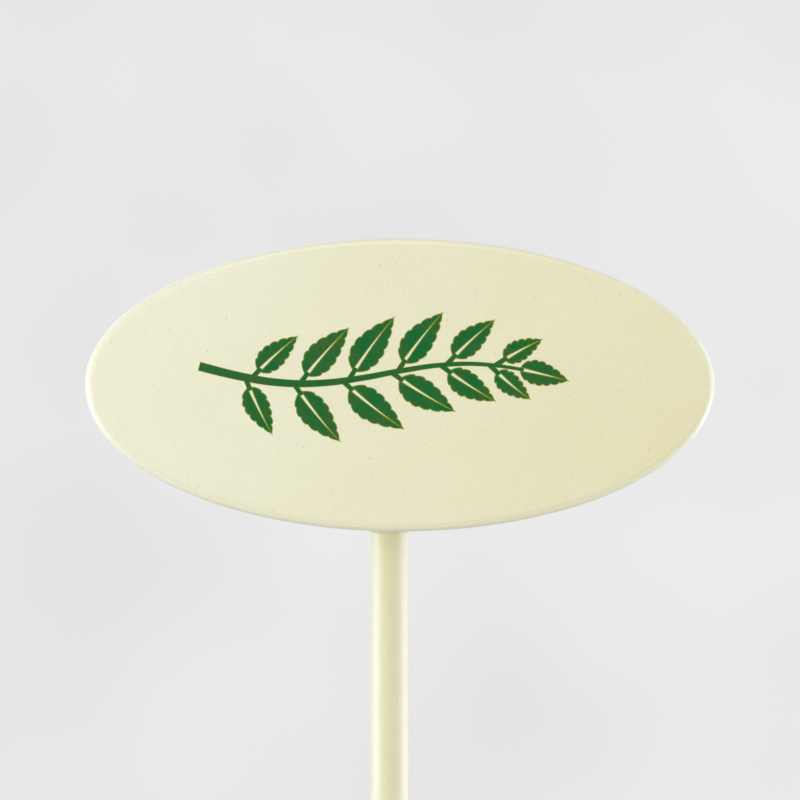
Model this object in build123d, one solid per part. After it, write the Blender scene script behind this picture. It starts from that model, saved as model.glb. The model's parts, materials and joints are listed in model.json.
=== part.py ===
from build123d import *

import os

# Plant label stake: an oval enamelled steel plate, welded by its back to a round steel rod
# whose lower end is ground to a point and pushed into the soil.
#
# Frame, in millimetres: the origin is on the rod's axis at the soil line, +Z is up along the
# rod, +X is to the right of someone reading the label, and the label faces -Y.

# Stock and coating
BAR_DIAMETER = 4.0  # drawn steel bar of the stake
SHEET_THICKNESS = 1.5  # steel sheet of the plate
ENAMEL_THICKNESS = 0.2  # fired enamel on every outside face

# Label plate, finished sizes
PLATE_WIDTH = 73.0
PLATE_HEIGHT = 34.0
PLATE_SIDE_OFFSET = 1.2  # the plate's middle lies this far to the right of the rod
FRONT_EDGE_RADIUS = 1.0  # the enamel draws back from the stamped edge and rounds it
BACK_EDGE_RADIUS = 0.6
EDGE_LAND = 0.2  # least straight wall left between the two rounded edges

# Stake
HEIGHT_ABOVE_SOIL = 180.0  # soil line to the top of the plate
DEPTH_IN_SOIL = 90.0  # soil line to the point
POINT_LENGTH = 12.0
POINT_RADIUS = 0.5  # the ground point is blunted
TOP_CHAMFER = 0.5

# Seat: the top of the rod is pressed flat on one side, so that it lies on the plate's back
SEAT_LENGTH = 25.0  # how far the rod reaches up behind the plate
SEAT_FLAT_DEPTH = 0.3  # how far the flat is pressed into the rod
SEAT_SWELL = 0.06  # the pressed stretch spreads by this much all round
SWELL_LENGTH = 4.0  # from the round shank to the full swell
SHOULDER_GAP = 0.3  # from the plate's lower edge down to the shoulder of the flat

# Weld beads
SIDE_BEAD_RADIUS = 1.4
SIDE_BEAD_LIFT = 0.3  # the bead's axis lies this far off the plate's back
SIDE_BEAD_MARGIN = 3.5  # bare seat left above and below a side bead
LOWER_BEAD_RADIUS = 0.6
LOWER_BEAD_LIFT = 0.2  # the bead's axis lies this far above the plate's lower edge
LOWER_BEAD_ANGLE = 140.0  # how far it wraps round the front of the rod
LOWER_BEAD_MARGIN = 0.8  # from the lower bead down to the plain round shank

# Places that follow from the sizes above
rod_radius = BAR_DIAMETER / 2 + ENAMEL_THICKNESS
seat_radius = rod_radius + SEAT_SWELL
plate_thickness = SHEET_THICKNESS + 2 * ENAMEL_THICKNESS
plate_back_y = -(rod_radius - SEAT_FLAT_DEPTH)
plate_middle_z = HEIGHT_ABOVE_SOIL - PLATE_HEIGHT / 2
plate_bottom_z = HEIGHT_ABOVE_SOIL - PLATE_HEIGHT
lower_bead_z = plate_bottom_z + LOWER_BEAD_LIFT
point_z = -DEPTH_IN_SOIL
shank_bottom_z = point_z + POINT_LENGTH
shank_top_z = lower_bead_z - LOWER_BEAD_RADIUS - LOWER_BEAD_MARGIN
swell_top_z = shank_top_z + SWELL_LENGTH
shoulder_z = plate_bottom_z - SHOULDER_GAP
rod_top_z = plate_bottom_z + SEAT_LENGTH


def make_sign_plate():
    """The oval blank with its enamel: two flat faces, and edges that the enamel has rounded."""
    back_radius = min(BACK_EDGE_RADIUS, plate_thickness / 3)
    front_radius = min(FRONT_EDGE_RADIUS, plate_thickness - back_radius - EDGE_LAND)
    back_plane = Plane(
        origin=(PLATE_SIDE_OFFSET, plate_back_y, plate_middle_z),
        x_dir=(1, 0, 0),
        z_dir=(0, -1, 0),
    )
    outline = back_plane * Ellipse(PLATE_WIDTH / 2, PLATE_HEIGHT / 2)
    plate = extrude(outline, plate_thickness)
    front_edge = plate.faces().sort_by(Axis.Y)[0].edges()
    plate = fillet(front_edge, front_radius)
    back_edge = plate.faces().sort_by(Axis.Y)[-1].edges()
    return fillet(back_edge, back_radius)


def make_stake_rod():
    """The rod turned about its axis, then pressed flat on the side that meets the plate."""
    tip_side = (POINT_RADIUS, point_z + POINT_RADIUS)
    with BuildPart() as rod:
        with BuildSketch(Plane.XZ):
            with BuildLine():
                RadiusArc((0, point_z), tip_side, -POINT_RADIUS)
                Polyline(
                    tip_side,
                    (rod_radius, shank_bottom_z),
                    (rod_radius, shank_top_z),
                    (seat_radius, swell_top_z),
                    (seat_radius, rod_top_z - TOP_CHAMFER),
                    (seat_radius - TOP_CHAMFER, rod_top_z),
                    (0, rod_top_z),
                    (0, point_z),
                )
            make_face()
        revolve(axis=Axis.Z)
    pressed_away = Box(
        2 * seat_radius,
        seat_radius,
        rod_top_z - shoulder_z,
        align=(Align.CENTER, Align.MAX, Align.MIN),
    )
    return rod.part - Pos(0, plate_back_y, shoulder_z) * pressed_away


def make_side_bead(side, plate, rod):
    """A fillet weld along one side of the seat: what a round-ended bar leaves in the corner."""
    middle_z = (swell_top_z + rod_top_z) / 2
    straight_length = rod_top_z - swell_top_z - 2 * (SIDE_BEAD_MARGIN + SIDE_BEAD_RADIUS)
    bead = Cylinder(SIDE_BEAD_RADIUS, straight_length)
    for end in (-1, 1):
        bead += Pos(0, 0, end * straight_length / 2) * Sphere(SIDE_BEAD_RADIUS)
    bead = Pos(side * seat_radius, plate_back_y + SIDE_BEAD_LIFT, middle_z) * bead
    return bead - plate - rod


def make_lower_bead(plate, rod):
    """The weld under the plate's lower edge, wrapped round the front of the rod."""
    section = Plane.XZ * Pos(rod_radius, 0) * Circle(LOWER_BEAD_RADIUS)
    bead = revolve(section, Axis.Z, LOWER_BEAD_ANGLE)
    centred_on_front = Rot(0, 0, -90 - LOWER_BEAD_ANGLE / 2)
    return Pos(0, 0, lower_bead_z) * centred_on_front * bead - plate - rod


sign_plate = make_sign_plate()
stake_rod = make_stake_rod()
nodes = {
    "sign_plate": sign_plate,
    "stake_rod": stake_rod,
    "weld_bead_left": make_side_bead(-1, sign_plate, stake_rod),
    "weld_bead_right": make_side_bead(1, sign_plate, stake_rod),
    "weld_bead_lower": make_lower_bead(sign_plate, stake_rod),
}

os.makedirs("parts", exist_ok=True)
for name, shape in nodes.items():
    export_step(shape, f"parts/{name}.step")
    print(name, "solids", len(shape.solids()), "volume", round(shape.volume, 2))
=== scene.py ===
# %% [markdown]
# # A plant label stake
# The real object is an oval of sheet steel on a thin steel rod. Both are coated in cream enamel,
# the rod is welded to the back of the oval, and the front carries a small green print.
# The measured frame gives every size and place. Here each piece gets the softer shape and the
# finish that the frame leaves out, and then come a floor, lamps and a camera.

# %% Load the measured frame
import json
import math

import bmesh
import bpy
from mathutils import Matrix, Vector, noise


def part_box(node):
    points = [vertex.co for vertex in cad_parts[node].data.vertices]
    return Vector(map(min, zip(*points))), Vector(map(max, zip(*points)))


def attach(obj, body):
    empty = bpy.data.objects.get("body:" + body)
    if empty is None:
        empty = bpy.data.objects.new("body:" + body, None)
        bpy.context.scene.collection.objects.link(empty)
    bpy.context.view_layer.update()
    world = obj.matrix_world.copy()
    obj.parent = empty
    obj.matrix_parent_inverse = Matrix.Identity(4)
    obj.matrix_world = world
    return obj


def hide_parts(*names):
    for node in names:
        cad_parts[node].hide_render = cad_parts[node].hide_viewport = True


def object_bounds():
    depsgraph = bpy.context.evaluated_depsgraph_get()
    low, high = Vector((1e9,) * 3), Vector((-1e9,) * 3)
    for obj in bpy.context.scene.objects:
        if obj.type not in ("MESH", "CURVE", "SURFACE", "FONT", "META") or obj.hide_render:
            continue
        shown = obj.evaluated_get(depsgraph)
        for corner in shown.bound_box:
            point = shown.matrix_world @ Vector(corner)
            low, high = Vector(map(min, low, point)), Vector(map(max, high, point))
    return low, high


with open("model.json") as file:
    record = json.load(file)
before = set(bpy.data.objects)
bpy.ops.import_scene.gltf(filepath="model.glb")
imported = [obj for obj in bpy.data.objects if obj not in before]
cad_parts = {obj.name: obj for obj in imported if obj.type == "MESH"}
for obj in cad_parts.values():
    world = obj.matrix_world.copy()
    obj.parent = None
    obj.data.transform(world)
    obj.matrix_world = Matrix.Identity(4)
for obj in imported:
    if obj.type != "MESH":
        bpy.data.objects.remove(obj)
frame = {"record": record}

cad_low, cad_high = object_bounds()
print("frame box, mm:", [round(v * 1000, 2) for v in (*cad_low, *cad_high)])

# %% [markdown]
# Everything below hangs on a few measures. They could be typed in, but then every change of size
# would have to be made twice. The plate's box gives its middle, its two half axes and its front
# and back planes. The rod's radius comes from the mount that the soil grips, and its ends come
# from the rod's own box. Blender counts in metres here, so a millimetre is written as MM.

# %% Read the main measures
MM = 0.001

plate_low, plate_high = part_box("sign_plate")
plate_middle = (plate_low + plate_high) / 2
half_width = (plate_high.x - plate_low.x) / 2
half_height = (plate_high.z - plate_low.z) / 2
plate_thickness = plate_high.y - plate_low.y
front_y = plate_low.y
back_y = plate_high.y

rod_low, rod_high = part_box("stake_rod")
shank = next(mount for mount in frame["record"]["mounts"] if mount["name"] == "soil_shank")
shank_radius = shank["dims"]["r_mm"] * MM
seat_radius = (rod_high.x - rod_low.x) / 2
print("plate", round(half_width / MM, 2), "by", round(half_height / MM, 2), "mm half axes")
print("rod radius", round(shank_radius / MM, 2), "mm, seat", round(seat_radius / MM, 2), "mm")

# %% [markdown]
# Enamel is glass fused onto steel. Up close it is never one flat colour: the coat is a little
# thicker here and thinner there, it has a fine grain, and a few dark specks of scale have come
# up through it in the kiln. An image could show all that, but nodes stay sharp at any distance
# and need no unwrapping. The plate, the rod and the welds share these effects, so each effect is
# a node group, built once and placed in every material with its own values. The helpers come
# first. They keep the wiring short, and take a plain value or another node's output alike.

# %% Helpers that wire nodes


def feed(tree, socket, value):
    """Links another node's output to the socket, or sets a plain value on it."""
    if isinstance(value, bpy.types.NodeSocket):
        tree.links.new(value, socket)
    else:
        socket.default_value = value


def add_node(tree, kind, **inputs):
    """An underscore in an input's name stands for a space."""
    node = tree.nodes.new(kind)
    for label, value in inputs.items():
        feed(tree, node.inputs[label.replace("_", " ")], value)
    return node


def add_operation(tree, kind, operation, first, second):
    node = tree.nodes.new(kind)
    node.operation = operation
    feed(tree, node.inputs[0], first)
    feed(tree, node.inputs[1], second)
    return node.outputs


def add_math(tree, operation, first, second):
    return add_operation(tree, "ShaderNodeMath", operation, first, second)["Value"]


def add_vector_math(tree, operation, first, second=(0, 0, 0), output="Vector"):
    return add_operation(tree, "ShaderNodeVectorMath", operation, first, second)[output]


def add_swing(tree, value, amount):
    """Turns a noise, which lies about 0.5, into a swing of that amount about 0."""
    return add_math(tree, "MULTIPLY", add_math(tree, "SUBTRACT", value, 0.5), amount)


def add_grey(tree, level):
    return add_node(tree, "ShaderNodeCombineColor", Red=level, Green=level, Blue=level).outputs["Color"]


def add_colour_mix(tree, factor, first, second, blend="MIX"):
    node = tree.nodes.new("ShaderNodeMix")
    node.data_type = "RGBA"
    node.blend_type = blend
    colours = [socket for socket in node.inputs if socket.type == "RGBA"]
    feed(tree, node.inputs["Factor"], factor)
    feed(tree, colours[0], first)
    feed(tree, colours[1], second)
    return next(socket for socket in node.outputs if socket.type == "RGBA")


print("the nodes are those of Blender", bpy.app.version_string)

# %% Helpers that make and place node groups


def new_group(name, inputs, outputs):
    group = bpy.data.node_groups.new(name, "ShaderNodeTree")
    for label, kind, value in inputs:
        socket = group.interface.new_socket(name=label, in_out="INPUT", socket_type=kind)
        socket.default_value = value
    for label, kind in outputs:
        group.interface.new_socket(name=label, in_out="OUTPUT", socket_type=kind)
    start = group.nodes.new("NodeGroupInput")
    end = group.nodes.new("NodeGroupOutput")
    print("node group", name, "with inputs", [label for label, *_ in inputs])
    return group, start, end


def place_group(tree, group, **values):
    node = tree.nodes.new("ShaderNodeGroup")
    node.node_tree = group
    for label, value in values.items():
        feed(tree, node.inputs[label.replace("_", " ")], value)
    return node


def object_place(tree):
    return tree.nodes.new("ShaderNodeTexCoord").outputs["Object"]


# %% [markdown]
# The first effect is the tone. Enamel looks deeper where the coat is thick and paler where it is
# thin. Soft clouds of noise stand for uneven spraying. A drift adds a steady change across the
# piece: the dot product of a place with a direction grows along that direction. On the plate that
# drift is partly painted light. Together they mix the thin colour with the thick one, and a much
# finer noise lightens and darkens the mix, as the grain of a fired coat does. Every pattern here
# reads Object coordinates, which are metres on the piece itself, so a noise scale of 1000 means
# about 1 mm.

# %% The enamel's tone: cloudy thickness and fine grain
CLOUD_THIN = 0.35
CLOUD_THICK = 0.65
GRAIN_SCALE = 3200.0


def make_tone_group():
    group, start, end = new_group(
        "enamel_tone",
        [
            ("Thick", "NodeSocketColor", (1, 1, 1, 1)),
            ("Thin", "NodeSocketColor", (1, 1, 1, 1)),
            ("Cloud Size", "NodeSocketFloat", 100.0),
            ("Cloud Share", "NodeSocketFloat", 1.0),
            ("Middle", "NodeSocketVector", (0, 0, 0)),
            ("Drift", "NodeSocketVector", (0, 0, 0)),
            ("Grain", "NodeSocketFloat", 0.05),
        ],
        [("Color", "NodeSocketColor")],
    )
    place = object_place(group)
    clouds = add_node(
        group, "ShaderNodeTexNoise", Vector=place, Scale=start.outputs["Cloud Size"], Detail=3.0
    )
    spread = add_node(
        group,
        "ShaderNodeMapRange",
        Value=clouds.outputs["Fac"],
        From_Min=CLOUD_THIN,
        From_Max=CLOUD_THICK,
        To_Min=-0.5,
        To_Max=0.5,
    )
    cloudy = add_math(group, "MULTIPLY", spread.outputs["Result"], start.outputs["Cloud Share"])
    offset = add_vector_math(group, "SUBTRACT", place, start.outputs["Middle"])
    drift = add_vector_math(group, "DOT_PRODUCT", offset, start.outputs["Drift"], output="Value")
    # On the plate, the drift in this mix is partly painted light: a paler left end.
    thickness = add_math(group, "ADD", add_math(group, "ADD", cloudy, drift), 0.5)
    coat = add_colour_mix(group, thickness, start.outputs["Thin"], start.outputs["Thick"])
    grain = add_node(group, "ShaderNodeTexNoise", Vector=place, Scale=GRAIN_SCALE, Detail=2.0)
    swing = add_swing(group, grain.outputs["Fac"], start.outputs["Grain"])
    level = add_grey(group, add_math(group, "ADD", swing, 1.0))
    toned = add_colour_mix(group, 1.0, coat, level, blend="MULTIPLY")
    group.links.new(toned, end.inputs["Color"])
    return group


tone_group = make_tone_group()

# %% [markdown]
# The second effect is the specks of scale: sparse brown dots, soft at the edge, no two equally
# dark. They could be little meshes, but they lie in the glass, not on it, so they are a mask in
# the colour. A Voronoi texture divides space into cells, each with a point and a random colour.
# The red of that colour decides whether the cell has a speck, its green how dark the speck is,
# and the distance from the point makes it round.

# %% The specks of scale
SPECK_SOFTNESS = 0.10
SPECK_FAINTNESS = 2.0


def make_speck_group():
    group, start, end = new_group(
        "enamel_specks",
        [
            ("Cells Per Metre", "NodeSocketFloat", 1000.0),
            ("Share", "NodeSocketFloat", 0.05),
            ("Size", "NodeSocketFloat", 0.15),
            ("Strength", "NodeSocketFloat", 0.5),
        ],
        [("Mask", "NodeSocketFloat")],
    )
    cells = add_node(
        group,
        "ShaderNodeTexVoronoi",
        Vector=object_place(group),
        Scale=start.outputs["Cells Per Metre"],
    )
    chance = add_node(group, "ShaderNodeSeparateColor", Color=cells.outputs["Color"])
    chosen = add_math(group, "LESS_THAN", chance.outputs["Red"], start.outputs["Share"])
    near = add_math(group, "SUBTRACT", start.outputs["Size"], cells.outputs["Distance"])
    soft = add_node(group, "ShaderNodeMapRange", From_Min=0.0, From_Max=SPECK_SOFTNESS, Value=near)
    faint = add_math(group, "POWER", chance.outputs["Green"], SPECK_FAINTNESS)
    depth = add_math(group, "MULTIPLY", faint, start.outputs["Strength"])
    mask = add_math(group, "MULTIPLY", soft.outputs["Result"], chosen)
    mask = add_math(group, "MULTIPLY", mask, depth)
    group.links.new(mask, end.inputs["Mask"])
    return group


speck_group = make_speck_group()

# %% [markdown]
# The third effect is the surface. Fired enamel is smooth but not flat: it has long soft waves,
# and on them the fine orange peel that spraying leaves. Both are thousandths of a millimetre
# deep, too shallow for a mesh, so two noises add up to a height for a Bump node. The long waves
# come out a second time as gloss, because the shine changes a little where the coat does.

# %% The surface: long soft waves and a fine orange peel
PEEL_SHARE = 0.25


def make_surface_group():
    group, start, end = new_group(
        "enamel_surface",
        [("Wave Size", "NodeSocketFloat", 250.0), ("Peel Size", "NodeSocketFloat", 1400.0)],
        [("Height", "NodeSocketFloat"), ("Gloss", "NodeSocketFloat")],
    )
    place = object_place(group)
    waves = add_node(
        group, "ShaderNodeTexNoise", Vector=place, Scale=start.outputs["Wave Size"], Detail=1.0
    )
    peel = add_node(
        group, "ShaderNodeTexNoise", Vector=place, Scale=start.outputs["Peel Size"], Detail=2.0
    )
    small = add_math(group, "MULTIPLY", peel.outputs["Fac"], PEEL_SHARE)
    height = add_math(group, "ADD", waves.outputs["Fac"], small)
    group.links.new(height, end.inputs["Height"])
    group.links.new(waves.outputs["Fac"], end.inputs["Gloss"])
    return group


surface_group = make_surface_group()

# %% [markdown]
# A material joins the effects on one Principled shader. The enamel and the ink both start from a
# new shader, read numbers that the mesh carries on its vertices, and take their relief from the
# surface group, so these three steps are helpers too.

# %% Helpers that start a material


def new_material(name):
    material = bpy.data.materials.new(name)
    material.use_nodes = True
    tree = material.node_tree
    print("material", name)
    return material, tree, tree.nodes["Principled BSDF"]


def read_mask(tree, label):
    """Reads a vertex attribute. A mesh that lacks it gives 0."""
    mask = tree.nodes.new("ShaderNodeAttribute")
    mask.attribute_name = label
    return mask.outputs["Fac"]


def add_relief(tree, shader, surface, depth):
    bump = add_node(
        tree, "ShaderNodeBump", Strength=1.0, Distance=depth, Height=surface.outputs["Height"]
    )
    tree.links.new(bump.outputs["Normal"], shader.inputs["Normal"])


# %% [markdown]
# Now the cream enamel itself. It starts from the tone and drops the specks on it. Then light and
# shade are painted into the colour by the shape: a painted shade deepens the cream near the joint
# of rod and plate, a painted highlight makes it paler where the surface faces sideways, and a
# painted shade makes it greyer on edges that face down. A piece carries these painted marks as
# vertex attributes, and each attribute mixes in its own cream. The shine is a satin base, whose
# roughness moves with the waves, under a thin clear glaze, which is the shader's coat. The three
# enamels could be three materials built one by one, but the plate, the rod and the welds differ
# only in their values, so one function makes them.

# %% Cream enamel
SPECK_BROWN = (0.34, 0.27, 0.03, 1)
# A deeper cream for the painted shade near the joint, and a greyer one for the painted shade on edges
# that face down.
JOINT_SHADE_CREAM = (0.690, 0.648, 0.355, 1)
PAINTED_SHADE_CREAM = (0.600, 0.580, 0.450, 1)
CLOUD_SIZE = 90.0
CLOUD_SHARE = 0.22
ENAMEL_GRAIN = 0.14
SPECK_CELLS = 900.0
SPECK_SHARE = 0.07
SPECK_SIZE = 0.20
SPECK_STRENGTH = 0.52
GLOSS_SWING = 0.05
GLASS_IOR = 1.52
GLAZE_ROUGHNESS = 0.12
TONE_SHIFT = 8.5 * MM

tone_middle = plate_middle + Vector((TONE_SHIFT, 0, 0))


def make_cream_enamel(name, thick, thin, side, drift, roughness, wave_depth, glaze):
    material, tree, shader = new_material(name)
    tone = place_group(
        tree,
        tone_group,
        Thick=thick,
        Thin=thin,
        Cloud_Size=CLOUD_SIZE,
        Cloud_Share=CLOUD_SHARE,
        Middle=tone_middle,
        Drift=drift,
        Grain=ENAMEL_GRAIN,
    )
    specks = place_group(
        tree,
        speck_group,
        Cells_Per_Metre=SPECK_CELLS,
        Share=SPECK_SHARE,
        Size=SPECK_SIZE,
        Strength=SPECK_STRENGTH,
    )
    colour = add_colour_mix(tree, specks.outputs["Mask"], tone.outputs["Color"], SPECK_BROWN)
    # Painted light and shade: a deeper cream near the joint is painted shade, the side colour is a
    # painted highlight where a surface faces sideways, and a greyer cream is painted shade on edges
    # that face down.
    masks = (("joint_shade", JOINT_SHADE_CREAM), ("side_highlight", side), ("painted_shade", PAINTED_SHADE_CREAM))
    for label, cream in masks:
        colour = add_colour_mix(tree, read_mask(tree, label), colour, cream)
    tree.links.new(colour, shader.inputs["Base Color"])
    surface = place_group(tree, surface_group)
    gloss = add_node(
        tree,
        "ShaderNodeMapRange",
        Value=surface.outputs["Gloss"],
        To_Min=roughness - GLOSS_SWING,
        To_Max=roughness + GLOSS_SWING,
    )
    tree.links.new(gloss.outputs["Result"], shader.inputs["Roughness"])
    add_relief(tree, shader, surface, wave_depth)
    shader.inputs["IOR"].default_value = GLASS_IOR
    shader.inputs["Coat Weight"].default_value = glaze
    shader.inputs["Coat Roughness"].default_value = GLAZE_ROUGHNESS
    return material


# %% [markdown]
# Three enamels come from the same tin. On the plate the colour drifts from a pale left end to a
# deep right end, and is a touch darker towards the bottom. The drift is part coat and part painted
# light: the left end is painted paler, as if more light fell on it from the left. The half-way
# tone lies a little to the right of the plate's middle. The plate's rim colour is its painted
# highlight where the surface faces sideways. The rod's coat is deeper and duller, and its side
# colour is its painted highlight. The welds have that same coat, with more relief, because it lies
# on rough metal.

# %% The enamels of plate, rod and welds
PALE_CREAM = (0.815, 0.802, 0.600, 1)
DEEP_CREAM = (0.766, 0.722, 0.440, 1)
# The plate's painted highlight on surfaces that face sideways.
PLATE_SIDE_HIGHLIGHT = (0.765, 0.760, 0.637, 1)
# The left-right drift is part coat and part painted light, a paler left end; the plate is also a touch
# darker towards the bottom.
COAT_AND_LIGHT_DRIFT = 0.50
DRIFT_DOWN = 0.12
ROD_COAT = {
    "thick": (0.694, 0.666, 0.415, 1),
    "thin": (0.712, 0.687, 0.445, 1),
    # The side colour is the rod's and welds' painted highlight on surfaces that face sideways.
    "side": (0.688, 0.675, 0.515, 1),
    "drift": (0, 0, 0),
    "roughness": 0.45,
    "glaze": 0.25,
}

plate_enamel = make_cream_enamel(
    "plate_enamel",
    thick=DEEP_CREAM,
    thin=PALE_CREAM,
    side=PLATE_SIDE_HIGHLIGHT,
    drift=(COAT_AND_LIGHT_DRIFT / half_width, 0, -DRIFT_DOWN / half_height),
    roughness=0.35,
    wave_depth=0.008 * MM,
    glaze=0.30,
)
rod_enamel = make_cream_enamel("rod_enamel", wave_depth=0.012 * MM, **ROD_COAT)
weld_enamel = make_cream_enamel("weld_enamel", wave_depth=0.02 * MM, **ROD_COAT)

# %% [markdown]
# A bmesh is only a draft until it becomes an object. This helper does that for every piece:
# smooth shading, a material and the body it rides on. The mesh keeps its place in its vertices,
# so each object sits at the origin, and a pattern on Object coordinates stays where it is.

# %% A helper that turns a bmesh into a piece


def finish_piece(bm, name, material, stands_for=None):
    for face in bm.faces:
        face.smooth = True
    mesh = bpy.data.meshes.new(name)
    bm.to_mesh(mesh)
    bm.free()
    mesh.materials.append(material)
    piece = bpy.data.objects.new(name, mesh)
    bpy.context.scene.collection.objects.link(piece)
    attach(piece, "root")
    if stands_for:
        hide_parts(stands_for)
    print(name, "has", len(mesh.polygons), "faces")


# %% [markdown]
# The painted light and shade are numbers on the vertices, found by plain rules. A surface that
# faces sideways, away from the front, the back, up and down, gets a painted highlight. Edges that
# face down get a painted shade, and so does all that lies near the plate's lower edge, where rod
# and plate meet. They could be painted by hand in vertex paint mode, but a rule fits any size, and
# a number on the mesh looks the same from every side.

# %% The painted light and shade
# The painted side highlight, the painted shade on edges that face down and the painted shade near the
# joint.
SIDE_HIGHLIGHT_START = 0.98
SIDE_HIGHLIGHT_FULL = 0.78
UP_DOWN_SHARE = 0.88
SHADE_BELOW_START = 0.55
SHADE_BELOW_FULL = 0.90
JOINT_SHADE_LENGTH = 11.0 * MM


def paint_mask(bm, label, measure, start, full):
    """Writes a vertex attribute that rises from 0 to 1 as the measure goes from start to full."""
    bm.normal_update()
    layer = bm.verts.layers.float.new(label)
    for vert in bm.verts:
        vert[layer] = min(1.0, max(0.0, (measure(vert) - start) / (full - start)))


# How far a surface faces front, back, up or down; what faces sideways gets the painted highlight.
def facing_away_from_sides(vert):
    up_down = UP_DOWN_SHARE * vert.normal.z
    return math.hypot(vert.normal.y, up_down)


def facing_down(vert):
    return -vert.normal.z


def from_joint(vert):
    return abs(vert.co.z - plate_low.z)


# The painted side highlight, and the painted shade near the joint.
def paint_side_highlight(bm):
    paint_mask(bm, "side_highlight", facing_away_from_sides, SIDE_HIGHLIGHT_START, SIDE_HIGHLIGHT_FULL)


def paint_joint_shade(bm):
    paint_mask(bm, "joint_shade", from_joint, JOINT_SHADE_LENGTH, 0)


# The turns at which the painted side highlight begins and is full.
highlight_turns = [round(math.degrees(math.acos(facing))) for facing in (SIDE_HIGHLIGHT_START, SIDE_HIGHLIGHT_FULL)]
print("the coat thins between", highlight_turns, "degrees of turn from the spray")

# %% [markdown]
# The plate is stamped from sheet, and its edge is rounded by the enamel that draws back from it.
# An extruded curve would give that too, but with one bevel for both rims. Here a cylinder scaled
# into an oval is the blank, and its two rims are rings of edges: the front one gets a wide bevel
# and the back one a narrow bevel. A thin inset then keeps the flat faces truly flat. Without it,
# smooth shading would bend the light over the whole face.

# %% The oval plate
FRONT_ROUND = 1.0 * MM
BACK_ROUND = 0.6 * MM
OVAL_STEPS = 256
ROUND_STEPS = 10
FLAT_INSET = 0.1 * MM
TOLERANCE = 0.01 * MM


def stand_up(bm):
    """Turns what was made lying flat, so that its upper side faces the front."""
    upright = Matrix.Rotation(math.radians(90), 3, "X")
    bmesh.ops.rotate(bm, cent=(0, 0, 0), matrix=upright, verts=bm.verts)


def make_plate():
    bm = bmesh.new()
    bmesh.ops.create_cone(
        bm, cap_ends=True, segments=OVAL_STEPS, radius1=1, radius2=1, depth=plate_thickness
    )
    bmesh.ops.scale(bm, vec=(half_width, half_height, 1), verts=bm.verts)
    stand_up(bm)
    bmesh.ops.translate(bm, vec=plate_middle, verts=bm.verts)
    for y, radius in ((front_y, FRONT_ROUND), (back_y, BACK_ROUND)):
        ring = [edge for edge in bm.edges if all(abs(vert.co.y - y) < TOLERANCE for vert in edge.verts)]
        bmesh.ops.bevel(
            bm,
            geom=ring,
            offset=radius,
            offset_type="OFFSET",
            affect="EDGES",
            segments=ROUND_STEPS,
            profile=0.5,
            material=-1,
        )
    flats = [face for face in bm.faces if len(face.verts) > 4]
    for flat in flats:
        bmesh.ops.inset_region(bm, faces=[flat], thickness=FLAT_INSET, use_even_offset=True)
    bmesh.ops.recalc_face_normals(bm, faces=bm.faces)
    # A painted highlight on the rim's sideways faces and painted shade on edges that face down.
    paint_side_highlight(bm)
    paint_mask(bm, "painted_shade", facing_down, SHADE_BELOW_START, SHADE_BELOW_FULL)
    finish_piece(bm, "enamelled_plate", plate_enamel, "sign_plate")


make_plate()

# %% [markdown]
# The rod is drawn bar with a ground point. It could be put together from a cylinder and a cone,
# but a turned shape is one profile spun about an axis, and then there are no seams. The profile
# runs in the XZ plane from the tip of the point, round its blunt nose, up the shank and over a
# slight swell to the top of the seat.

# %% The profile of the stake rod
POINT_LENGTH = 12.0 * MM
POINT_RADIUS = 0.5 * MM
POINT_STEPS = 5
TOP_CHAMFER = 0.5 * MM
SWELL_LENGTH = 4.0 * MM

point_z = rod_low.z
shank_bottom_z = point_z + POINT_LENGTH
shank_top_z = shank_bottom_z + shank["dims"]["length_mm"] * MM


def rod_profile():
    points = []
    for step in range(POINT_STEPS):
        angle = math.radians(90 * step / POINT_STEPS)
        rise = POINT_RADIUS * (1 - math.cos(angle))
        points.append((POINT_RADIUS * math.sin(angle), point_z + rise))
    points += [
        (POINT_RADIUS, point_z + POINT_RADIUS),
        (shank_radius, shank_bottom_z),
        (shank_radius, shank_top_z),
        (seat_radius, shank_top_z + SWELL_LENGTH),
        (seat_radius, rod_high.z - TOP_CHAMFER),
        (seat_radius - TOP_CHAMFER, rod_high.z),
        (0, rod_high.z),
    ]
    return points


print("rod from", round(point_z / MM, 2), "to", round(rod_high.z / MM, 2), "mm")

# %% [markdown]
# The coat on a thin rod is never quite even. So the long shank is cut into short rings before the
# spin, and a smooth noise then moves their vertices in or out by a few hundredths of a
# millimetre. A Displace modifier could do that as well, but it would need a vertex group to leave
# the seat alone. The seat is pressed flat to lie on the plate's back: a cut makes a ring at the
# shoulder, and what stands forward of the plate's back above it moves to that plane.

# %% The stake rod
ROD_SIDES = 64
SHANK_CUTS = 75
MERGE_DISTANCE = 0.001 * MM
SHOULDER_GAP = 0.3 * MM
UNEVEN_DEPTH = 0.025 * MM
UNEVEN_SIZE = 7.0 * MM

shoulder_z = plate_low.z - SHOULDER_GAP


def everything(bm):
    return bm.verts[:] + bm.edges[:] + bm.faces[:]


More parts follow.
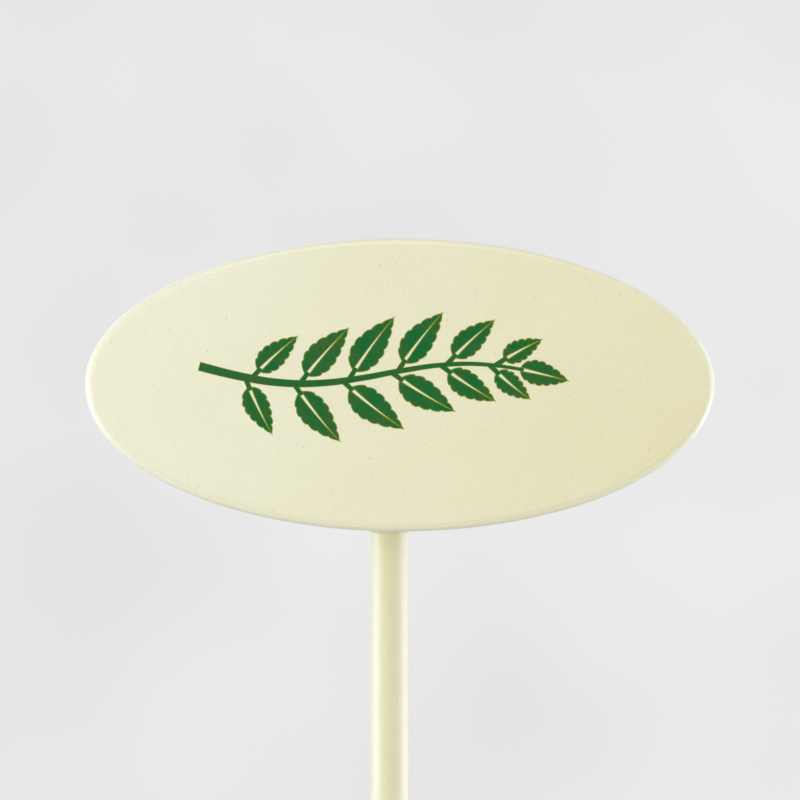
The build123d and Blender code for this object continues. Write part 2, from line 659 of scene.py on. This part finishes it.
def make_rod():
    bm = bmesh.new()
    corners = [bm.verts.new((radius, 0, z)) for radius, z in rod_profile()]
    runs = [bm.edges.new(pair) for pair in zip(corners, corners[1:])]
    long_run = max(runs, key=lambda run: run.calc_length())
    bmesh.ops.subdivide_edges(bm, edges=[long_run], cuts=SHANK_CUTS)
    bmesh.ops.spin(
        bm,
        geom=bm.verts[:] + bm.edges[:],
        cent=(0, 0, 0),
        axis=(0, 0, 1),
        angle=math.tau,
        steps=ROD_SIDES,
        use_merge=True,
    )
    bmesh.ops.remove_doubles(bm, verts=bm.verts, dist=MERGE_DISTANCE)
    bmesh.ops.bisect_plane(
        bm, geom=everything(bm), plane_co=(0, 0, shoulder_z), plane_no=(0, 0, 1)
    )
    bmesh.ops.recalc_face_normals(bm, faces=bm.faces)
    for vert in bm.verts:
        if vert.co.z > shoulder_z + TOLERANCE:
            vert.co.y = max(vert.co.y, back_y)
        elif vert.co.z > shank_bottom_z:
            uneven = noise.noise(vert.co / UNEVEN_SIZE) * UNEVEN_DEPTH
            vert.co += Vector((vert.co.x, vert.co.y, 0)).normalized() * uneven
    # Painted shade near the plate and a painted highlight on the rod's sides.
    paint_joint_shade(bm)
    paint_side_highlight(bm)
    finish_piece(bm, "enamelled_rod", rod_enamel, "stake_rod")


make_rod()

# %% [markdown]
# A weld is laid down puddle by puddle, so its bead is a row of overlapping crescents, softened
# here by the coat on top. A row of rings would leave gaps between them, so every bead is one
# closed skin. It starts as a UV sphere, whose two poles become the bead's two ends. Its rings
# are strung along a path and swell and shrink with each puddle. The swelling leans with the
# angle round the bead, which bends the ripples into crescents, and a noise makes the puddles
# uneven, because they are laid by hand.

# %% Weld beads
BEAD_RINGS = 96
BEAD_SIDES = 24
RIPPLE_DEPTH = 0.055
RIPPLE_STEEPNESS = 0.6
CRESCENT_LEAN = 0.40
PUDDLE_DRIFT = 0.35
WANDER = 0.06


def end_taper(share, fullness):
    """1 along the bead, falling to 0 at both ends; a higher fullness keeps it thick for longer."""
    return (1 - abs(2 * share - 1) ** fullness) ** 0.5


def make_bead(path, fullness, breadth, height, puddles):
    """path(share) gives the bead's middle, its outward and its sideways direction."""
    bm = bmesh.new()
    bmesh.ops.create_uvsphere(bm, u_segments=BEAD_SIDES, v_segments=BEAD_RINGS, radius=1)
    for vert in bm.verts:
        share = math.acos(max(-1.0, min(1.0, vert.co.z))) / math.pi
        around = math.atan2(vert.co.y, vert.co.x)
        middle, outward, sideways = path(share)
        uneven = noise.noise(middle / MM)
        beat = math.tau * (puddles * share + CRESCENT_LEAN * math.cos(around) + PUDDLE_DRIFT * uneven)
        puddle = math.sin(beat + RIPPLE_STEEPNESS * math.sin(beat))
        ripple = 1 + RIPPLE_DEPTH * puddle + WANDER * uneven
        reach = end_taper(share, fullness) * ripple
        out = outward * math.cos(around) * height
        vert.co = middle + (out + sideways * math.sin(around) * breadth) * reach
    bmesh.ops.recalc_face_normals(bm, faces=bm.faces)
    return bm


print("a bead has", BEAD_RINGS, "rings of", BEAD_SIDES, "faces")

# %% [markdown]
# Two beads hold the seat. Each lies in the corner between the rod's side and the plate's back,
# so its path is straight and its outward direction leans half to the side and half to the back.
# It is broader than it is high, because weld metal runs out on both walls. A Boolean could fit it
# to the plate, but the plate's back is one plane: bisect_plane cuts off what lies inside, and
# the hole that it leaves is filled, so the bead is closed and lies on the plate.

# %% The two beads along the sides of the seat
SIDE_BREADTH = 1.45 * MM
SIDE_HEIGHT = 1.15 * MM
SIDE_FULLNESS = 6
SIDE_LIFT = 0.3 * MM
SIDE_PUDDLES = 11


def make_side_bead(name, side):
    low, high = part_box(name)
    outward = Vector((side, 1, 0)).normalized()
    sideways = Vector((-outward.y, outward.x, 0))

    def path(share):
        z = low.z + (high.z - low.z) * share
        return Vector((side * seat_radius, back_y + SIDE_LIFT, z)), outward, sideways

    bm = make_bead(path, SIDE_FULLNESS, SIDE_BREADTH, SIDE_HEIGHT, SIDE_PUDDLES)
    cut = bmesh.ops.bisect_plane(
        bm, geom=everything(bm), plane_co=(0, back_y, 0), plane_no=(0, 1, 0), clear_inner=True
    )
    rim = [edge for edge in cut["geom_cut"] if isinstance(edge, bmesh.types.BMEdge)]
    bmesh.ops.edgeloop_fill(bm, edges=rim)
    bmesh.ops.recalc_face_normals(bm, faces=bm.faces)
    # Painted shade near the joint and a painted highlight on the bead's sides.
    paint_joint_shade(bm)
    paint_side_highlight(bm)
    finish_piece(bm, name.replace("weld_bead", "rippled_weld"), weld_enamel, name)


make_side_bead("weld_bead_left", -1)
make_side_bead("weld_bead_right", 1)

# %% [markdown]
# The third bead is the only one that shows from the front: a small roll under the plate's lower
# edge, where the dark lower rim dips across the rod. The same function makes it, along an arc
# that goes a little more than half-way round the rod. In front it gets the same painted shade as
# the rim above, so the two look like one dark edge.

# %% The bead under the plate's lower edge
LOWER_RADIUS = 0.42 * MM
LOWER_FULLNESS = 2.5
LOWER_LIFT = 0.2 * MM
LOWER_ANGLE = math.radians(195)
LOWER_STANDOFF = 0.1 * MM
LOWER_PUDDLES = 4
FORWARD_START = 0.2
FORWARD_FULL = 0.7


def lower_path(share):
    turn = (share - 0.5) * LOWER_ANGLE
    outward = Vector((math.sin(turn), -math.cos(turn), 0))
    reach = shank_radius + LOWER_STANDOFF
    middle = outward * reach + Vector((0, 0, plate_low.z + LOWER_LIFT))
    return middle, outward, Vector((0, 0, 1))


def forward_share(vert):
    return -vert.co.y / shank_radius


def make_lower_bead():
    bm = make_bead(lower_path, LOWER_FULLNESS, LOWER_RADIUS, LOWER_RADIUS, LOWER_PUDDLES)
    # Painted shade near the joint, a painted highlight on the sides and painted shade in front.
    paint_joint_shade(bm)
    paint_side_highlight(bm)
    paint_mask(bm, "painted_shade", forward_share, FORWARD_START, FORWARD_FULL)
    finish_piece(bm, "rippled_weld_lower", weld_enamel, "weld_bead_lower")


make_lower_bead()

# %% [markdown]
# The print is a green ink, screened on and fired, so it lies on the enamel as a film a few
# hundredths of a millimetre thick. It could be painted in the shader, but real geometry keeps its
# edge crisp from any distance. The drawing is a sprig of a garden herb, a stem with pairs of
# toothed leaves, drawn in millimetres in the XY plane. The stem comes first: an S-shaped ribbon
# that narrows to its tip. An outline here is a list of Bezier points, each with its place and
# its two handles, and None leaves the handles to Blender.

# %% The stem of the sprig
STEM_START = -21.5
STEM_END = 16.0
STEM_REACH = 21.0
STEM_WAVE = 1.5
STEM_BASE_WIDTH = 0.95
STEM_TIP_WIDTH = 0.30
STEM_STATIONS = 9


def stem_point(u):
    return Vector((u, STEM_WAVE * math.sin(math.pi * u / STEM_REACH)))


def stem_direction(u):
    slope = STEM_WAVE * math.pi / STEM_REACH * math.cos(math.pi * u / STEM_REACH)
    return Vector((1, slope)).normalized()


def ribbon(points, directions, widths):
    """Two long smooth edges, with sharp corners at both ends."""
    upper, lower = [], []
    last = len(points) - 1
    for station, (point, direction, width) in enumerate(zip(points, directions, widths)):
        across = direction.orthogonal() * width / 2
        for edge, place in ((upper, point + across), (lower, point - across)):
            handle = place if station in (0, last) else None
            edge.append((place, handle, handle))
    return upper + lower[::-1]


def stem_outline():
    shares = [station / (STEM_STATIONS - 1) for station in range(STEM_STATIONS)]
    spots = [STEM_START + (STEM_END - STEM_START) * share for share in shares]
    widths = [STEM_BASE_WIDTH + (STEM_TIP_WIDTH - STEM_BASE_WIDTH) * share for share in shares]
    return ribbon([stem_point(u) for u in spots], [stem_direction(u) for u in spots], widths)


print("the stem's outline has", len(stem_outline()), "points")

# %% [markdown]
# A leaf is drawn as two halves with a thin gap between them, which is the midrib. Each half runs
# along a toothed edge from the base to the tip, and back beside the midrib. A tooth could have
# points of its own, but it needs none: the handles on both sides of each notch stand out from the
# edge, and the one before the notch is almost above it, so the curve swells slowly and comes back
# steeply.

# %% One half of a leaf
LEAF_SLIMNESS = 0.19
LEAF_BELLY = 0.7
LEAF_TEETH = 6
TOOTH = 0.32
TOOTH_SWELL = 0.4
TOOTH_RETURN = 0.05
TIP_EASE = 0.3
MIDRIB_WIDTH = 0.46


def leaf_width(share):
    """Round at the base, widest a little past a third of the length, drawn out at the tip."""
    return math.sin(math.pi * share ** LEAF_BELLY)


def half_leaf(root, axis, length, side, bend):
    across = axis.orthogonal()
    width = length * LEAF_SLIMNESS
    step = 1 / LEAF_TEETH

    def spot(share, out):
        """A place that far along the leaf and that far out from its bent midrib."""
        rib = MIDRIB_WIDTH / 2 * (1 - share)
        return root + axis * length * share + across * (side * (rib + out) + bend * length * share**2)

    def edge(share, tooth):
        return spot(share, width * leaf_width(share) + tooth)

    points = [(spot(0, 0), spot(1 / 3, 0), edge(TOOTH_SWELL * step, TOOTH))]
    for number in range(1, LEAF_TEETH):
        notch = number * step
        before = edge(notch - TOOTH_RETURN * step, TOOTH)
        after = edge(notch + TOOTH_SWELL * step, TOOTH)
        points.append((edge(notch, 0), before, after))
    points.append((spot(1, 0), edge(1 - TIP_EASE * step, 0), spot(2 / 3, 0)))
    return points


print("each half of a leaf has", LEAF_TEETH, "teeth")

# %% [markdown]
# The whole sprig is the stem, six pairs of leaves on short stalks and one leaf at the tip. A plant
# is never quite regular: the two leaves of a pair are a little staggered, they lean closer to the
# stem towards the tip, and every leaf bends. Where ink overlaps ink, two films in one plane would
# flicker, so each outline comes with a height for its film: the stem lies over the stalks, and
# the stalks over the leaves.

# %% The whole sprig
FIRST_PAIR = -15.8
LAST_PAIR = 12.4
PAIR_STAGGER = 0.35
BASE_SPREAD = 58
TIP_SPREAD = 40
LEAF_LENGTHS = (5.9, 7.2, 7.6, 7.2, 6.2, 4.8)
LEAF_BEND = 0.10
LEAF_STALK = 1.25
STALK_WIDTHS = (0.55, 0.45)
STALK_OVERLAP = 0.35
END_LEAF = 5.6
END_BEND = -0.04
STEM_PROUD = 1.4
STALK_PROUD = 1.2
LEAF_PROUD = 1.0


def turned(direction, degrees):
    return Matrix.Rotation(math.radians(degrees), 2) @ direction


def whole_leaf(root, axis, length, bend):
    return [(LEAF_PROUD, half_leaf(root, axis, length, side, bend)) for side in (-1, 1)]


def sprig_outlines():
    outlines = [(STEM_PROUD, stem_outline())]
    for pair, length in enumerate(LEAF_LENGTHS):
        share = pair / (len(LEAF_LENGTHS) - 1)
        spread = BASE_SPREAD + (TIP_SPREAD - BASE_SPREAD) * share
        for turn in (1, -1):
            u = FIRST_PAIR + (LAST_PAIR - FIRST_PAIR) * share + turn * PAIR_STAGGER
            axis = turned(stem_direction(u), turn * spread)
            root = stem_point(u) + axis * LEAF_STALK
            stalk_end = root + axis * STALK_OVERLAP
            stalk = ribbon([stem_point(u), stalk_end], [axis, axis], STALK_WIDTHS)
            outlines.append((STALK_PROUD, stalk))
            outlines += whole_leaf(root, axis, length, -turn * LEAF_BEND)
    tip = stem_point(STEM_END - STALK_OVERLAP)
    outlines += whole_leaf(tip, stem_direction(STEM_END), END_LEAF, END_BEND)
    return outlines


sprig = sprig_outlines()
print("the sprig has", len(sprig), "outlines")

# %% [markdown]
# Each outline becomes a 2D curve. Such a curve fills itself, and its bevel gives the film its
# thickness and a thin edge, which is pressed much flatter than it is wide. The offset takes most
# of the bevel's width back, so that the ink bleeds only a little past the line. All curves become
# one mesh before it is laid on the plate, and a vertex attribute remembers where the film runs
# out.

# %% Draw the film
FILM_EDGE = 0.16
FILM_BLEED = 0.06
FILM_HEIGHT = 0.03
FILM_EDGE_STEPS = 2
CURVE_STEPS = 6


def flat_curve(outline):
    curve = bpy.data.curves.new("sprig_outline", "CURVE")
    curve.dimensions = "2D"
    curve.fill_mode = "BOTH"
    curve.bevel_depth = FILM_EDGE
    curve.bevel_resolution = FILM_EDGE_STEPS
    curve.offset = FILM_BLEED - FILM_EDGE
    curve.resolution_u = CURVE_STEPS
    spline = curve.splines.new("BEZIER")
    spline.use_cyclic_u = True
    spline.bezier_points.add(len(outline) - 1)
    for bezier, (place, incoming, outgoing) in zip(spline.bezier_points, outline):
        handle_type = "AUTO" if incoming is None else "FREE"
        bezier.handle_left_type = handle_type
        bezier.handle_right_type = handle_type
        bezier.co = place.to_3d()
        if incoming is not None:
            bezier.handle_left = incoming.to_3d()
            bezier.handle_right = outgoing.to_3d()
    return curve


def draw_film(outlines):
    bm = bmesh.new()
    for proud, outline in outlines:
        drawing = bpy.data.objects.new("sprig_drawing", flat_curve(outline))
        bpy.context.scene.collection.objects.link(drawing)
        mesh = bpy.data.meshes.new_from_object(drawing)
        bpy.data.objects.remove(drawing)
        mesh.transform(Matrix.Scale(proud, 4, (0, 0, 1)))
        bm.from_mesh(mesh)
    edge = bm.verts.layers.float.new("film_edge")
    for vert in bm.verts:
        vert[edge] = 1 - min(1.0, max(0.0, vert.co.z) / FILM_EDGE)
    bmesh.ops.scale(bm, vec=(1, 1, FILM_HEIGHT / FILM_EDGE), verts=bm.verts)
    return bm


film = draw_film(sprig)
print("the film has", len(film.verts), "vertices")

# %% [markdown]
# The ink is a dense, rather matt green. Its tone drifts towards olive in patches, a few flecks of
# enamel show through where it has been scuffed, and it turns olive where the film runs out. The
# groups made for the enamel do all of this with other values: the tone group gives the patches,
# the speck group the flecks and the surface group a finer relief.

# %% Green ink
INK_GREEN = (0.001, 0.126, 0.025, 1)
INK_OLIVE = (0.030, 0.116, 0.019, 1)
INK_EDGE = (0.36, 0.39, 0.02, 1)
INK_EDGE_FULL = 0.5
INK_PATCHES = 450.0
INK_GRAIN = 0.6
SCUFF = (0.35, 0.40, 0.20, 1)
SCUFF_CELLS = 1500.0
SCUFF_SHARE = 0.06
SCUFF_SIZE = 0.22
INK_WAVES = 700.0
INK_PEEL = 3000.0
INK_RELIEF = 0.006 * MM
INK_ROUGHNESS = 0.6
INK_SPECULAR = 0.15


def make_green_ink():
    material, tree, shader = new_material("green_ink")
    tone = place_group(
        tree, tone_group, Thick=INK_GREEN, Thin=INK_OLIVE, Cloud_Size=INK_PATCHES, Grain=INK_GRAIN
    )
    edge = add_node(
        tree,
        "ShaderNodeMapRange",
        Value=read_mask(tree, "film_edge"),
        From_Min=0.0,
        From_Max=INK_EDGE_FULL,
    )
    colour = add_colour_mix(tree, edge.outputs["Result"], tone.outputs["Color"], INK_EDGE)
    flecks = place_group(
        tree,
        speck_group,
        Cells_Per_Metre=SCUFF_CELLS,
        Share=SCUFF_SHARE,
        Size=SCUFF_SIZE,
        Strength=1.0,
    )
    colour = add_colour_mix(tree, flecks.outputs["Mask"], colour, SCUFF)
    tree.links.new(colour, shader.inputs["Base Color"])
    surface = place_group(tree, surface_group, Wave_Size=INK_WAVES, Peel_Size=INK_PEEL)
    add_relief(tree, shader, surface, INK_RELIEF)
    shader.inputs["Roughness"].default_value = INK_ROUGHNESS
    shader.inputs["Specular IOR Level"].default_value = INK_SPECULAR
    return material


green_ink = make_green_ink()

# %% [markdown]
# The drawing still lies flat, in millimetres. Now it is tilted a little, moved to its place,
# brought to metres, stood up and set on the plate's front. Moving the object would be simpler,
# but a finished piece has its place in its mesh, so the vertices move. The film is as thick
# behind its middle as in front, and that back half sinks into the enamel, so no gap can show.

# %% Lay the print on the plate
SPRIG_TILT = math.radians(-2)
SPRIG_MIDDLE = Vector((-1.7, 1.3))


def lay_print(bm):
    tilt = Matrix.Rotation(SPRIG_TILT, 3, "Z")
    bmesh.ops.rotate(bm, cent=(0, 0, 0), matrix=tilt, verts=bm.verts)
    bmesh.ops.translate(bm, vec=SPRIG_MIDDLE.to_3d(), verts=bm.verts)
    bmesh.ops.scale(bm, vec=(MM, MM, MM), verts=bm.verts)
    stand_up(bm)
    bmesh.ops.translate(bm, vec=(plate_middle.x, front_y, plate_middle.z), verts=bm.verts)
    finish_piece(bm, "sprig_print", green_ink)


lay_print(film)

# %% [markdown]
# The stage is a plain pale floor at the level of the point. It is wide enough for views from
# above, but ends before it would come into the front view, where only the grey backdrop is seen.
# Near the point it is a lit surface, which keeps the stake's shadow. Farther off it becomes an
# even grey that runs into the backdrop. Stronger lamps would make the floor pale too, but they
# would bleach the stake. Light Path tells which rays only look at the floor, from the camera, in
# a reflection or through glass, and only those meet the even grey.

# %% The floor's material
FLOOR_DARK = 0.675
FLOOR_LIGHT = 0.695
FLOOR_PATCHES = 6.0
FLOOR_GRAIN = 0.02
FLOOR_ROUGHNESS = 0.9
EVEN_GREY = 0.82
EVEN_START = 0.05
EVEN_FULL = 0.28
NEAR_SHARE = 0.10


def plain_grey(level):
    return (level, level, level, 1)


def looking_rays(tree):
    """1 for rays that only look, from the camera, in a reflection or through glass, and else 0."""
    rays = tree.nodes.new("ShaderNodeLightPath")
    looking = add_math(tree, "ADD", rays.outputs["Is Camera Ray"], rays.outputs["Is Glossy Ray"])
    looking = add_math(tree, "ADD", looking, rays.outputs["Is Transmission Ray"])
    return add_math(tree, "MINIMUM", looking, 1.0)


def mix_shaders(tree, factor, first, second):
    mix = add_node(tree, "ShaderNodeMixShader", Fac=factor)
    tree.links.new(first, mix.inputs[1])
    tree.links.new(second, mix.inputs[2])
    return mix.outputs["Shader"]


def make_pale_floor():
    material, tree, shader = new_material("pale_floor")
    tone = place_group(
        tree,
        tone_group,
        Thick=plain_grey(FLOOR_DARK),
        Thin=plain_grey(FLOOR_LIGHT),
        Cloud_Size=FLOOR_PATCHES,
        Grain=FLOOR_GRAIN,
    )
    tree.links.new(tone.outputs["Color"], shader.inputs["Base Color"])
    shader.inputs["Roughness"].default_value = FLOOR_ROUGHNESS
    flat_place = add_vector_math(tree, "MULTIPLY", object_place(tree), (1, 1, 0))
    far = add_node(
        tree,
        "ShaderNodeMapRange",
        Value=add_vector_math(tree, "LENGTH", flat_place, output="Value"),
        From_Min=EVEN_START,
        From_Max=EVEN_FULL,
        To_Min=NEAR_SHARE,
        To_Max=1.0,
    )
    even = add_node(tree, "ShaderNodeEmission", Color=plain_grey(EVEN_GREY), Strength=1.0)
    share = add_math(tree, "MULTIPLY", looking_rays(tree), far.outputs["Result"])
    mixed = mix_shaders(tree, share, shader.outputs["BSDF"], even.outputs["Emission"])
    tree.links.new(mixed, tree.nodes["Material Output"].inputs["Surface"])
    return material


pale_floor = make_pale_floor()

# %% The floor
FLOOR_HALF = 2.2


def make_floor():
    bm = bmesh.new()
    bmesh.ops.create_grid(bm, x_segments=1, y_segments=1, size=FLOOR_HALF)
    bmesh.ops.translate(bm, vec=(0, 0, cad_low.z), verts=bm.verts)
    mesh = bpy.data.meshes.new("floor")
    bm.to_mesh(mesh)
    bm.free()
    mesh.materials.append(pale_floor)
    floor = bpy.data.objects.new("floor", mesh)
    bpy.context.scene.collection.objects.link(floor)


make_floor()
print("floor at", round(cad_low.z / MM, 2), "mm,", 2 * FLOOR_HALF, "m wide")

# %% [markdown]
# The stake stands in soft light from ten area lamps, all aimed at the plate's middle. One strong
# lamp would be simpler, but it would burn out the pale face and throw a hard shadow. Two lamps in
# front and one overhead light the face evenly. Those at the sides, some of them low, are there
# for the edges: a rounded rim or a rod mirrors each of them as a bright line, and the lamp's
# place decides where that line runs. One behind keeps the back from going dark.

# %% Lamps
# Each row has a name, a place in metres, a width, a height and a power in watts.
LAMPS = (
    ("front_left", (-0.25, -0.85, 0.26), 0.46, 0.46, 0.82),
    ("front_right", (0.30, -0.80, 0.30), 0.40, 0.40, 0.59),
    ("overhead", (0.0, -0.25, 0.70), 0.60, 0.40, 1.28),
    ("left_side", (-0.45, -0.05, 0.25), 0.35, 0.40, 0.43),
    ("low_left", (-0.42, 0.0, 0.03), 0.34, 0.20, 0.64),
    ("left_front", (-0.38, -0.20, 0.06), 0.30, 0.25, 0.36),
    ("right_side", (0.43, -0.08, 0.12), 0.30, 0.40, 0.46),
    ("low_right", (0.42, 0.08, 0.03), 0.30, 0.20, 0.64),
    ("back_right", (0.35, 0.30, 0.14), 0.20, 0.50, 0.40),
    ("back", (-0.30, 0.90, 0.40), 0.50, 0.50, 0.80),
)


def add_softbox(name, place, width, height, power):
    lamp = bpy.data.lights.new(name, "AREA")
    lamp.shape = "RECTANGLE"
    lamp.size = width
    lamp.size_y = height
    lamp.energy = power
    softbox = bpy.data.objects.new(name, lamp)
    softbox.location = place
    softbox.rotation_euler = (plate_middle - Vector(place)).to_track_quat("-Z", "Y").to_euler()
    bpy.context.scene.collection.objects.link(softbox)


for row in LAMPS:
    add_softbox(*row)
print("lamps:", [name for name, *_ in LAMPS])

# %% [markdown]
# The rest of the light is a white tent round the stake, which is the world: an even white of
# moderate strength from all sides. Rays that only look don't see the tent. They see a backdrop of
# soft grey, a little lighter to the right, with faint clouds in it. A backdrop could be a sheet
# of its own, but it would shade the stake and end somewhere, and the world does neither.

# %% Tent light and backdrop
TENT_WHITE = (1, 1, 1, 1)
TENT_STRENGTH = 0.48
BACKDROP_GREY = 0.812
BACKDROP_RIGHT = 0.20
BACKDROP_SWING = 0.015
BACKDROP_CLOUDS = 0.12
BACKDROP_CLOUD_SCALE = 22.0


def backdrop_level(tree):
    direction = tree.nodes.new("ShaderNodeTexCoord").outputs["Generated"]
    parts = add_node(tree, "ShaderNodeSeparateXYZ", Vector=direction)
    slope = add_math(tree, "MULTIPLY", parts.outputs["X"], BACKDROP_RIGHT)
    slope = add_math(tree, "MAXIMUM", slope, -BACKDROP_SWING)
    slope = add_math(tree, "MINIMUM", slope, BACKDROP_SWING)
    clouds = add_node(
        tree, "ShaderNodeTexNoise", Vector=direction, Scale=BACKDROP_CLOUD_SCALE, Detail=1.0
    )
    soft = add_swing(tree, clouds.outputs["Fac"], BACKDROP_CLOUDS)
    return add_math(tree, "ADD", add_math(tree, "ADD", slope, soft), BACKDROP_GREY)


def make_world():
    world = bpy.data.worlds.new("light_tent")
    world.use_nodes = True
    tree = world.node_tree
    tree.nodes.clear()
    seen = add_grey(tree, backdrop_level(tree))
    backdrop = add_node(tree, "ShaderNodeBackground", Color=seen, Strength=1.0)
    tent = add_node(tree, "ShaderNodeBackground", Color=TENT_WHITE, Strength=TENT_STRENGTH)
    mixed = mix_shaders(
        tree, looking_rays(tree), tent.outputs["Background"], backdrop.outputs["Background"]
    )
    end = tree.nodes.new("ShaderNodeOutputWorld")
    tree.links.new(mixed, end.inputs["Surface"])
    bpy.context.scene.world = world
    print("world", world.name, "with", len(tree.nodes), "nodes")


make_world()

# %% [markdown]
# The camera stands straight in front of the plate with a long lens, which keeps the oval true.
# The plate is 629.5 pixels wide in an image of 800, and together with the distance that sets the
# focal length. The plate's middle is 15 pixels above the image's middle, so the camera stands
# that much lower. A shift of the lens would do the same, but it would stay on in every other view.

# %% Camera
IMAGE_PIXELS = 800
PLATE_PIXELS = 629.5
PLATE_MIDDLE_PIXEL = (399.75, 385.0)
CAMERA_DISTANCE = 0.60
SENSOR_WIDTH = 36.0

metres_per_pixel = 2 * half_width / PLATE_PIXELS
camera_data = bpy.data.cameras.new("front_camera")
camera_data.sensor_width = SENSOR_WIDTH
camera_data.lens = SENSOR_WIDTH * CAMERA_DISTANCE / (IMAGE_PIXELS * metres_per_pixel)
camera = bpy.data.objects.new("front_camera", camera_data)
camera.location = (
    plate_middle.x + (IMAGE_PIXELS / 2 - PLATE_MIDDLE_PIXEL[0]) * metres_per_pixel,
    plate_middle.y - CAMERA_DISTANCE,
    plate_middle.z - (IMAGE_PIXELS / 2 - PLATE_MIDDLE_PIXEL[1]) * metres_per_pixel,
)
camera.rotation_euler = (math.radians(90), 0, 0)
bpy.context.scene.collection.objects.link(camera)
bpy.context.scene.camera = camera
bpy.context.scene.view_settings.view_transform = "Standard"
print("lens", round(camera_data.lens, 1), "mm")
